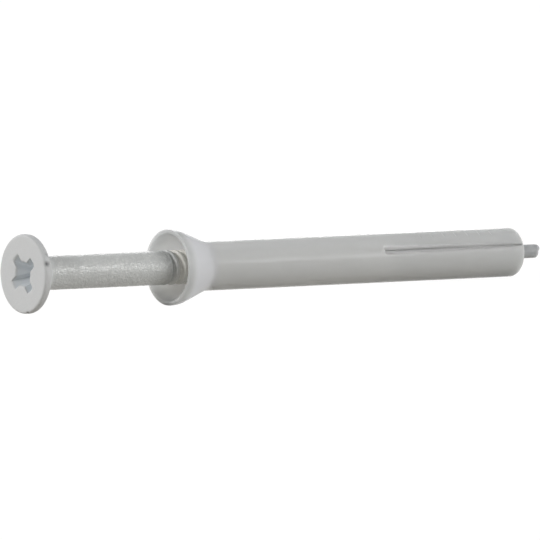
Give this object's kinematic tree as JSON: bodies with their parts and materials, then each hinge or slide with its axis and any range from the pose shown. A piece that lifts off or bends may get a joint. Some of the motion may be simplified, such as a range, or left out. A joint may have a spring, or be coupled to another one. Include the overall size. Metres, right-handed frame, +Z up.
{
  "type": "hammer fixing plug",
  "caption": "Hammer fixing plug: slotted nylon sleeve with a funnel collar and a started galvanised hammer screw, driven in to spread the sleeve's legs in a drilled hole.",
  "frame": {"origin": "middle of the collar's mouth, on the plug's axis", "axes": "+X along the plug's axis, from the screw's head to the sleeve's tip and into the drilled hole; +Z up"},
  "size_m": [0.1044, 0.0126, 0.0126],
  "materials": {
    "natural_nylon": "moulded natural nylon, slightly translucent, soft sheen",
    "galvanised_steel": "hot-dip galvanised, matt light grey with a rough, beaded shank"
  },
  "bodies": {
    "sleeve": {"plug_sleeve": "natural_nylon"},
    "screw": {"hammer_screw": "galvanised_steel"}
  },
  "joints": [
    {"name": "screw_drive", "type": "slide", "parent": "sleeve", "child": "screw", "axis": [1, 0, 0], "range_m": [0, 0.0266]}
  ]
}
